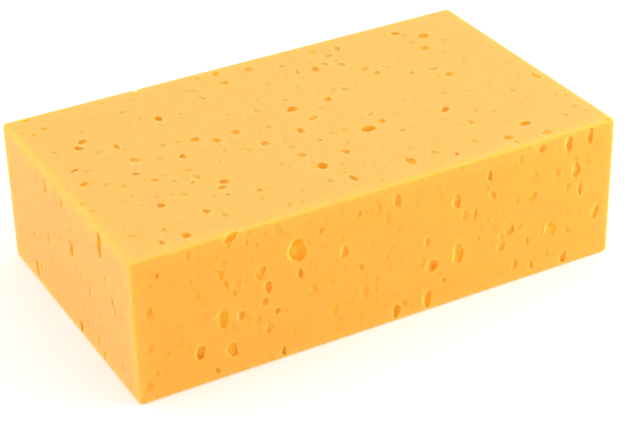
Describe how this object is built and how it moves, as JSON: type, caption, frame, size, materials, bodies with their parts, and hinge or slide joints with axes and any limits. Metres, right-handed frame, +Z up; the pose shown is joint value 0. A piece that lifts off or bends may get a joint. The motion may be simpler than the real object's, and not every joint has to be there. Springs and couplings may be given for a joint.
{
  "type": "cleaning sponge",
  "caption": "Rectangular block of yellow open-cell foam with barely rounded edges and open pores of mixed size on every face, for wet cleaning by hand.",
  "frame": {"origin": "middle of the underside, on the surface that the sponge lies on", "axes": "+X along the length, +Y across the width towards the back, +Z up through the thickness"},
  "size_m": [0.205, 0.12, 0.06],
  "materials": {
    "foam": "open-cell polyurethane foam, dry, yellow, matte"
  },
  "bodies": {
    "root": {"foam_block": "foam"}
  },
  "joints": []
}
